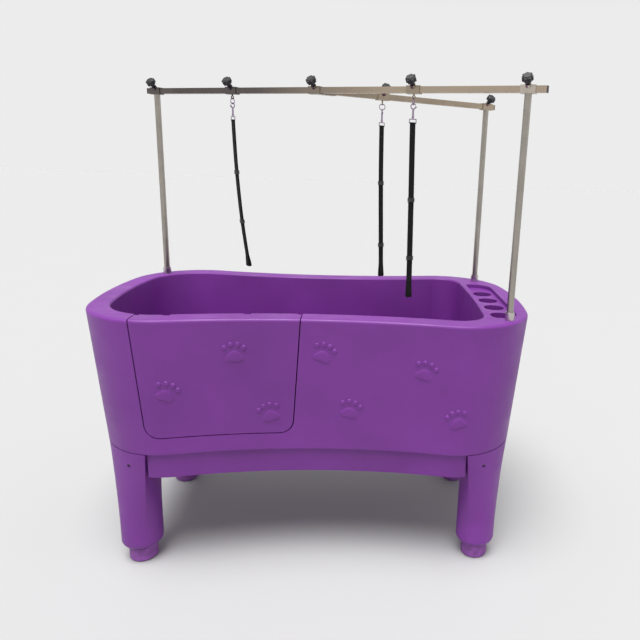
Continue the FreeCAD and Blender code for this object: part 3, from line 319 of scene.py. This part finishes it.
PURPLE = (0.150, 0.022, 0.230)
STEEL = (0.40, 0.37, 0.33)
# Dark end of the painted reflection that fades along the main bar and the clamps; the warm
# steels are its lighter ends.
PAINTED_DARK_REFLECTION_STEEL = (0.15, 0.13, 0.125)
WARM_STEEL = (0.46, 0.375, 0.285)
DEEP_WARM_STEEL = shaded(WARM_STEEL, 0.8)
MAIN_HEADING = heading_of("main_bar_slide")
BRANCH_HEADING = heading_of("carrier_middle_slide")
MATERIALS = {
    "tub_plastic": moulded("tub_plastic", PURPLE),
    "door_plastic": moulded("door_plastic", shaded(PURPLE, 0.96)),
    # A darker copy of the purple for the deck: painted shade.
    "deck_plastic": moulded("deck_plastic", shaded(PURPLE, 0.92)),
    # A lighter copy of the purple for the legs: painted light.
    "leg_plastic": moulded("leg_plastic", shaded(PURPLE, 1.02)),
    "foot_rubber": sparked("foot_rubber", (0.17, 0.045, 0.23), rough=0.6),
    "seal_rubber": sparked("seal_rubber", (0.02, 0.018, 0.022), rough=0.62),
    "stainless_tube": brushed("stainless_tube", STEEL),
    # Clamp steel fades along X from the painted dark reflection to a lighter one, as on the
    # main bar.
    "stainless_clamp": brushed("stainless_clamp", PAINTED_DARK_REFLECTION_STEEL, MAIN_HEADING,
                               fade=(-0.25, 0.15, DEEP_WARM_STEEL)),
    "socket_steel": brushed("socket_steel", (0.60, 0.55, 0.55), rough=0.22),
    "bolt_steel": plated("bolt_steel", (0.12, 0.10, 0.12), rough=0.35),
    "knob_plastic": sparked("knob_plastic", (0.012, 0.012, 0.013)),
    "plug_plastic": sparked("plug_plastic", (0.010, 0.010, 0.010), rough=0.5),
    "hook_metal": plated("hook_metal", (0.36, 0.28, 0.38)),
    "webbing_fabric": woven("webbing_fabric", (0.0032, 0.0032, 0.0038)),
    "glide_plastic": sparked("glide_plastic", (0.013, 0.013, 0.014), rough=0.34),
    "drain_plastic": sparked("drain_plastic", (0.11, 0.11, 0.12), rough=0.42),
    "strainer_steel": brushed("strainer_steel", (0.55, 0.55, 0.56), heading=0.0),
}
# Nodes whose finish differs from that of their slot; the main bar's fade along X is a painted
# reflection.
OWN_FINISH = {
    # Main bar: painted reflection, dark at the left and turning lighter and warmer along X.
    "main_bar": brushed("main_bar_painted_reflection_steel", PAINTED_DARK_REFLECTION_STEEL, MAIN_HEADING,
                        fade=(-0.2, 0.2, WARM_STEEL)),
    "branch_bar": brushed("branch_bar_steel", DEEP_WARM_STEEL, BRANCH_HEADING),
    # The front right clamp gets a lighter copy of the clamp steel: a painted reflection.
    "post_clamp_front_right": brushed("painted_reflection_clamp_steel", (0.60, 0.54, 0.46),
                                      MAIN_HEADING),
}
THREAD = sparked("stitch_thread", (0.035, 0.035, 0.04), rough=0.6)

for node_name, node_obj in NODES.items():
    node_obj.data.materials.clear()
    node_obj.data.materials.append(OWN_FINISH.get(node_name, MATERIALS[SLOTS[node_name]]))


# ------------------------------------------------------------- mesh helpers
def piece(name, mesh, slot, body, material=None):
    """Links a finished bmesh as a smooth piece that rides on a body."""
    bmesh.ops.recalc_face_normals(mesh, faces=mesh.faces[:])
    data = bpy.data.meshes.new(name)
    mesh.to_mesh(data)
    mesh.free()
    for polygon in data.polygons:
        polygon.use_smooth = True
    obj = link(bpy.data.objects.new(name, data))
    data.materials.append(material or MATERIALS[slot])
    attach(obj, body)
    return obj


def bridge(mesh, first, second):
    """Quads between two closed loops of the same length."""
    count = len(first)
    return [mesh.faces.new((first[i], first[(i + 1) % count],
                            second[(i + 1) % count], second[i])) for i in range(count)]


def bridge_chain(mesh, loops):
    """Quads between each closed loop and the next one."""
    for first, second in zip(loops, loops[1:]):
        bridge(mesh, first, second)


def rounded_box_loop(half_x, half_y, radius, per_corner=4):
    """Points round a rectangle with round corners."""
    spots = []
    for sx, sy, start in ((1, 1, 0), (-1, 1, 90), (-1, -1, 180), (1, -1, 270)):
        for step in range(per_corner + 1):
            angle = math.radians(start + 90 * step / per_corner)
            spots.append((sx * (half_x - radius) + radius * math.cos(angle),
                          sy * (half_y - radius) + radius * math.sin(angle)))
    return spots


# ------------------------------------------------------------------ webbing
# Height of the axis of the swivel links' lower bars, which the webbing hangs from.
LINK_LOW = 1.3113
WEB_HALF = 0.008
# For each restraint: the heading of the webbing's width in degrees, and its
# route as (sideways, drop) from the link's lower bar.
RESTRAINTS = {
    "left": (-45, ((0, 0), (0.003, 0.080), (0.009, 0.175), (0.018, 0.275),
                   (0.031, 0.378), (0.046, 0.470))),
    "middle": (36, ((0, 0), (-0.001, 0.080), (-0.004, 0.180), (-0.009, 0.285),
                    (-0.014, 0.385), (-0.018, 0.477))),
    "right": (20, ((0, 0), (-0.003, 0.080), (-0.009, 0.190), (-0.013, 0.300),
                   (-0.017, 0.400), (-0.019, 0.492))),
}
# From the route to the middle of either layer, and half a layer's thickness.
LAYER_GAP = 0.00125
LAYER_HALF = 0.00072
# Over the last stretch the layers part to this reach, and a fold joins them.
SPLAY_START, SPLAY_REACH = 0.045, 0.0052
FOLD_LENGTH = 0.0035
# Radius of the loop over the link's lower bar.
WRAP_RADIUS = 0.0022
HALF_TURN_STEPS = 8
# Cross-section of a layer, as shares of its half width and half thickness.
HALF_PROFILE = ((-1, -0.55), (-0.93, -1), (-0.5, -0.9), (0, -0.86), (0.5, -0.9),
                (0.93, -1), (1, -0.55))
LAYER_PROFILE = HALF_PROFILE + tuple((-a, -b) for a, b in HALF_PROFILE)
MILLIMETRES = 1000


def spline_points(name, controls):
    """Points of a smooth spline through a route's control points."""
    curve = bpy.data.curves.new(name + "_route", "CURVE")
    curve.dimensions = "3D"
    spline = curve.splines.new("NURBS")
    spline.points.add(len(controls) - 1)
    for target, point in zip(spline.points, controls):
        target.co = (*point, 1)
    spline.order_u = 3
    spline.use_endpoint_u = True
    spline.resolution_u = 24
    holder = bpy.data.objects.new(name + "_route", curve)
    mesh = bpy.data.meshes.new_from_object(holder)
    line = [vertex.co.copy() for vertex in mesh.vertices]
    bpy.data.objects.remove(holder)
    bpy.data.curves.remove(curve)
    bpy.data.meshes.remove(mesh)
    return line


class Route:
    """Centreline of a webbing, with its running length and its directions."""

    def __init__(self, name, heading, drops):
        turn = math.radians(heading)
        self.wide = Vector((math.cos(turn), math.sin(turn), 0))
        sideways = Vector((-math.sin(turn), math.cos(turn), 0))
        x, y, _ = JOINTS["restraint_%s_swivel" % name]["pos_m"]
        top = Vector((x, y, LINK_LOW))
        self.line = spline_points(name, [top + sideways * aside - Vector((0, 0, drop))
                                         for aside, drop in drops])
        self.run = [0.0]
        for here, there in zip(self.line, self.line[1:]):
            self.run.append(self.run[-1] + (there - here).length)
        self.length = self.run[-1]

    def down(self, index):
        """Direction of the centreline at one of its points."""
        here = self.line[max(index - 1, 0)]
        there = self.line[min(index + 1, len(self.line) - 1)]
        return (there - here).normalized()

    def normal(self, index):
        """Direction from one layer of the webbing to the other."""
        return self.down(index).cross(self.wide).normalized()

    def offset(self, index):
        """From the centreline to the middle of a layer, more near the low end."""
        near_end = max(0.0, 1 - (self.length - self.run[index]) / SPLAY_START)
        eased = near_end ** 2 * (3 - 2 * near_end)
        return LAYER_GAP + (SPLAY_REACH - LAYER_GAP) * eased

    def index_at(self, place):
        """Index of the point nearest to a running length."""
        return min(range(len(self.run)), key=lambda i: abs(self.run[i] - place))

    def index_near(self, spot):
        """Index of the point nearest to a spot in space."""
        return min(range(len(self.line)), key=lambda i: (self.line[i] - spot).length)


def half_turn(centre, side, side_reach, ahead, ahead_reach):
    """Centres and outward directions round a half turn from one side to the other."""
    stations = []
    for step in range(1, HALF_TURN_STEPS):
        angle = math.pi * step / HALF_TURN_STEPS
        stations.append((centre + side * side_reach * math.cos(angle)
                         + ahead * ahead_reach * math.sin(angle),
                         side * math.cos(angle) + ahead * math.sin(angle)))
    return stations


def doubled_band(route):
    """Centres and outward directions once round the doubled webbing."""
    line = route.line
    last = len(line) - 1
    front, back = [], []
    for index in range(last + 1):
        out = route.normal(index)
        front.append((line[index] + out * route.offset(index), out))
        back.append((line[index] - out * route.offset(index), -out))
    fold = half_turn(line[last], route.normal(last), SPLAY_REACH,
                     (line[last] - line[last - 1]).normalized(), FOLD_LENGTH)
    crown = half_turn(line[0], -route.normal(0), WRAP_RADIUS,
                      (line[0] - line[1]).normalized(), WRAP_RADIUS)
    return front + fold + back[::-1] + crown


def band_mesh(stations, wide):
    """Closed strip of webbing with soft edges; UV in millimetres."""
    mesh = bmesh.new()
    uv = mesh.loops.layers.uv.new("weave")
    sections = [[mesh.verts.new(centre + wide * (a * WEB_HALF) + out * (b * LAYER_HALF))
                 for a, b in LAYER_PROFILE] for centre, out in stations]
    lengths = [0.0]
    for (here, _), (there, _) in zip(stations, stations[1:] + stations[:1]):
        lengths.append(lengths[-1] + (there - here).length)
    size = len(LAYER_PROFILE)
    for index, section in enumerate(sections):
        low, high = lengths[index], lengths[index + 1]
        next_section = sections[(index + 1) % len(sections)]
        for k, face in enumerate(bridge(mesh, section, next_section)):
            a, b = LAYER_PROFILE[k][0], LAYER_PROFILE[(k + 1) % size][0]
            for corner, (u, v) in zip(face.loops, ((a, low), (b, low), (b, high), (a, high))):
                corner[uv].uv = (u * WEB_HALF * MILLIMETRES, v * MILLIMETRES)
    return mesh


# Outside of an adjuster with its raised rims: (height, half width, half depth).
GLIDE_LEVELS = ((-0.0060, 0.0098, 0.0034), (-0.0056, 0.0104, 0.0039),
                (-0.0046, 0.0105, 0.0040), (-0.0040, 0.0100, 0.0036),
                (0.0040, 0.0100, 0.0036), (0.0046, 0.0105, 0.0040),
                (0.0056, 0.0104, 0.0039), (0.0060, 0.0098, 0.0034))
GLIDE_CORNER = 0.0016
# Opening for the webbing: half width, half depth and corner; and its heights.
GLIDE_OPENING = (0.0088, 0.0028, 0.0009)
OPENING_LEVELS = (0.0060, 0.0056, -0.0056, -0.0060)
RIB_LEVELS = (-0.0022, 0.0, 0.0022)
# Outline of a rib: half width, half height, corner and steps per corner.
RIB_OUTLINE = (0.0078, 0.0006, 0.0005, 3)
# Foot and crest of a rib: depth, and shares of the outline's width and height.
RIB_FOOT, RIB_CREST = (0.0036, 1.0, 1.0), (0.00405, 0.96, 0.6)


def glide_piece(where, down, wide):
    """Slide adjuster round the webbing: a rimmed frame with ribs on both faces."""
    mesh = bmesh.new()
    deep = down.cross(wide).normalized()

    def put(x, y, z):
        return mesh.verts.new(where + wide * x + deep * y + down * z)

    outside = [[put(x, y, level) for x, y in rounded_box_loop(half_x, half_y, GLIDE_CORNER)]
               for level, half_x, half_y in GLIDE_LEVELS]
    inside = [[put(x, y, level) for x, y in rounded_box_loop(*GLIDE_OPENING)]
              for level in OPENING_LEVELS]
    bridge_chain(mesh, outside + inside + outside[:1])
    for side in (1, -1):
        for level in RIB_LEVELS:
            foot, crest = [[put(x * broad, side * depth, level + y * tall)
                            for x, y in rounded_box_loop(*RIB_OUTLINE)]
                           for depth, broad, tall in (RIB_FOOT, RIB_CREST)]
            bridge(mesh, foot, crest)
            mesh.faces.new(crest)
            mesh.faces.new(foot[::-1])
    return mesh


THREAD_HALF = 0.00032
# Sections of one stitch: (along, lift).
STITCH_SECTIONS = ((-0.0011, 0.0), (-0.0007, 0.00035), (0.0007, 0.00035), (0.0011, 0.0))
STITCH_PITCH = 0.0034
# Half the distance between a seam's long rows, and its first cross row's lead.
SEAM_HALF, SEAM_LEAD = 0.0055, 0.001
# Stitches of a cross row, in pitches from the middle.
CROSS_ROW = (-1.5, -0.5, 0.5, 1.5)
# Start and end of the seams, from the top and from the low end.
TOP_SEAM = (0.010, 0.030)
END_SEAM = (0.058, 0.047)


def add_stitch(mesh, centre, way, out):
    """One stitch along a way, raised outwards in its middle."""
    side = way.cross(out)
    sections = [[mesh.verts.new(centre + way * along + out * (lift + THREAD_HALF * s)
                                + side * THREAD_HALF * c)
                 for c, s in ((1, 0), (0, 1), (-1, 0), (0, -1))]
                for along, lift in STITCH_SECTIONS]
    bridge_chain(mesh, sections)
    mesh.faces.new(sections[0][::-1])
    mesh.faces.new(sections[-1])


def stitches(route, first, last):
    """Box of thread stitches on both faces of the doubled webbing."""
    mesh = bmesh.new()
    for face in (1, -1):
        place = first
        while place < last:
            index = route.index_at(place)
            out = route.normal(index) * face
            way = route.down(index)
            middle = route.line[index] + way * (place - route.run[index])
            for aside in (-SEAM_HALF, SEAM_HALF):
                spot = middle + out * (LAYER_GAP + LAYER_HALF) + route.wide * aside
                add_stitch(mesh, spot, way, out)
            place += STITCH_PITCH
        for place in (first - SEAM_LEAD, last):
            index = route.index_at(place)
            out = route.normal(index) * face
            middle = route.line[index] + out * (LAYER_GAP + LAYER_HALF)
            for pitches in CROSS_ROW:
                spot = middle + route.wide * (pitches * STITCH_PITCH)
                add_stitch(mesh, spot, route.wide, out)
    return mesh


def make_restraint(name, heading, drops):
    """Webbing, seams and adjusters of one restraint."""
    route = Route(name, heading, drops)
    body = "restraint_" + name
    strip = piece("webbing_strip_" + name, band_mesh(doubled_band(route), route.wide),
                  "webbing_fabric", body)
    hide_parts("webbing_" + name)
    top_seam = piece("webbing_stitches_" + name, stitches(route, *TOP_SEAM),
                     "webbing_fabric", body, THREAD)
    end_places = [route.length - above for above in END_SEAM]
    end_seam = piece("webbing_end_stitches_" + name, stitches(route, *end_places),
                     "webbing_fabric", body, THREAD)
    for place in ("upper", "lower"):
        node = "%s_glide_%s" % (place, name)
        low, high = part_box(node)
        centre = (Vector(low) + Vector(high)) / 2
        down = route.down(route.index_near(centre))
        glide = piece("%s_adjuster_%s" % (place, name), glide_piece(centre, down, route.wide),
                      "glide_plastic", BODY_OF[node])
        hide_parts(node)


for restraint, (web_heading, web_drops) in RESTRAINTS.items():
    make_restraint(restraint, web_heading, web_drops)


# ------------------------------------------------------------------ the paws
# Each paw: its node, its place (x, z) and its clockwise turn in degrees.
PAWS = (("door_panel", -0.2027, 0.6857, 0), ("door_panel", -0.3813, 0.5772, 22),
        ("door_panel", -0.1151, 0.5032, -18), ("tub_shell", 0.0369, 0.6854, 20),
        ("tub_shell", 0.3178, 0.6438, 18), ("tub_shell", 0.1113, 0.5146, 15),
        ("tub_shell", 0.4152, 0.5005, -18))
PAD_RAISE = 0.0028
# How far inside the wall a pad's edge ends.
PAD_SINK = 0.0005
# How much a pad is domed, and how sharply it drops at its edge.
PAD_DOME, EDGE_POWER = 0.25, 9
PAD_RINGS, PAD_STEPS = 7, 36
HEEL_PLACE, HEEL_HALF = (0, -0.0125), (0.0255, 0.0185)
TOES = ((-0.0255, 0.0155), (-0.0092, 0.0240), (0.0092, 0.0240), (0.0255, 0.0155))
TOE_HALF = (0.0076, 0.0082)
# Turn of a toe in radians, for each metre to the side of the paw's middle.
TOE_TURN = -12
# Outline of the heel: its corners' depth, and the hollow's depth and spread.
HEEL_CORNERS, HOLLOW_DEPTH, HOLLOW_SPREAD = 0.11, 0.16, 26
# Y in front of the wall, where the rays towards it start.
IN_FRONT = -0.6
WALLS = {}


def wall_point(node, x, z):
    """Point and normal of the front wall at a place on it."""
    if node not in WALLS:
        mesh = bmesh.new()
        mesh.from_mesh(NODES[node].data)
        WALLS[node] = BVHTree.FromBMesh(mesh)
        mesh.free()
    hit, normal, _, _ = WALLS[node].ray_cast(Vector((x, IN_FRONT, z)), Vector((0, 1, 0)))
    return hit, normal


def heel_reach(angle):
    """Outline of the heel pad: a rounded triangle with a hollow below."""
    hollow = math.exp(-((math.degrees(angle) + 90) / HOLLOW_SPREAD) ** 2)
    return 1 - HOLLOW_DEPTH * hollow - HEEL_CORNERS * math.sin(3 * angle)


def toe_reach(_):
    """Outline of a toe pad: a plain ellipse."""
    return 1


def turned(x, z, angle):
    """A place on the wall turned anticlockwise about its origin."""
    return (x * math.cos(angle) - z * math.sin(angle),
            x * math.sin(angle) + z * math.cos(angle))


def add_pad(mesh, node, centre, tilt, middle, half, turn, reach):
    """One raised pad that follows the wall."""
    out = wall_point(node, *centre)[1]
    if out.y > 0:
        out = -out

    def spot(u, v, raise_by):
        x, z = turned(u, v, turn)
        x, z = turned(middle[0] + x, middle[1] + z, tilt)
        hit, _ = wall_point(node, centre[0] + x, centre[1] + z)
        return mesh.verts.new(hit + out * raise_by)

    tip = spot(0, 0, PAD_RAISE)
    loops = []
    for ring in range(1, PAD_RINGS + 1):
        share = ring / PAD_RINGS
        drop = share ** EDGE_POWER
        lift = PAD_RAISE * (1 - PAD_DOME * share ** 2) * (1 - drop) - PAD_SINK * drop
        loop = []
        for step in range(PAD_STEPS):
            angle = math.tau * step / PAD_STEPS - math.pi
            far = share * reach(angle)
            loop.append(spot(half[0] * far * math.cos(angle), half[1] * far * math.sin(angle),
                             lift))
        loops.append(loop)
    for i in range(PAD_STEPS):
        mesh.faces.new((tip, loops[0][i], loops[0][(i + 1) % PAD_STEPS]))
    bridge_chain(mesh, loops)


def make_paw(name, node, x, z, degrees):
    """Raised paw mark: a heel pad with an arc of four toes above it."""
    mesh = bmesh.new()
    tilt = math.radians(-degrees)
    add_pad(mesh, node, (x, z), tilt, HEEL_PLACE, HEEL_HALF, 0, heel_reach)
    for toe in TOES:
        add_pad(mesh, node, (x, z), tilt, toe, TOE_HALF, TOE_TURN * toe[0], toe_reach)
    piece(name, mesh, SLOTS[node], BODY_OF[node])


for number, paw in enumerate(PAWS, start=1):
    make_paw("paw_relief_%d" % number, *paw)


# ------------------------------------------------------------ floor and light
FLOOR_HALF = 30
FLOOR_GREY = (0.41, 0.41, 0.41)


def make_stage():
    mesh = bmesh.new()
    bmesh.ops.create_grid(mesh, x_segments=2, y_segments=2, size=FLOOR_HALF)
    data = bpy.data.meshes.new("floor")
    mesh.to_mesh(data)
    mesh.free()
    floor = link(bpy.data.objects.new("floor", data))
    data.materials.append(ground("pale_floor", FLOOR_GREY))


def facing(way):
    """Matrix that points a light along a direction."""
    return Vector(way).to_track_quat("-Z", "Y").to_matrix().to_4x4()


def area_light(name, place, aim, size, power):
    data = bpy.data.lights.new(name, "AREA")
    data.shape = "RECTANGLE"
    data.size, data.size_y = size
    data.energy = power
    lamp = link(bpy.data.objects.new(name, data))
    lamp.matrix_world = Matrix.Translation(place) @ facing(Vector(aim) - Vector(place))


def overhead_sun(power, spread, way):
    """A wide, soft light from far above that brightens the whole floor evenly."""
    data = bpy.data.lights.new("overhead_sun", "SUN")
    data.energy = power
    data.angle = math.radians(spread)
    lamp = link(bpy.data.objects.new("overhead_sun", data))
    lamp.matrix_world = facing(way)


def studio_world(low, overhead, fade):
    """White surroundings: low up to the fade's start, overhead above its end.

    The fade is in the Z of a direction, so that it starts above the horizon.
    """
    world = bpy.data.worlds.new("studio")
    world.use_nodes = True
    tree = world.node_tree
    coords = tree.nodes.new("ShaderNodeTexCoord")
    parts = tree.nodes.new("ShaderNodeSeparateXYZ")
    band = tree.nodes.new("ShaderNodeMapRange")
    band.inputs["From Min"].default_value = fade[0]
    band.inputs["From Max"].default_value = fade[1]
    band.inputs["To Min"].default_value = low
    band.inputs["To Max"].default_value = overhead
    tree.links.new(coords.outputs["Generated"], parts.inputs[0])
    tree.links.new(parts.outputs["Z"], band.inputs["Value"])
    tree.links.new(band.outputs["Result"], tree.nodes["Background"].inputs["Strength"])
    tree.nodes["Background"].inputs["Color"].default_value = (1, 1, 1, 1)
    scene.world = world


make_stage()
studio_world(low=0.84, overhead=0.5, fade=(0.22, 0.5))
scene.view_settings.view_transform = "Standard"
overhead_sun(power=4.9, spread=40, way=(0.1, 0.3, -1))
area_light("front_light", place=(-1.6, -3.4, 3.0), aim=(0, 0, 0.6), size=(2.6, 2.0),
           power=1.5)
area_light("right_light", place=(3.0, -0.6, 2.2), aim=(0.2, 0, 0.6), size=(1.6, 2.0),
           power=4)
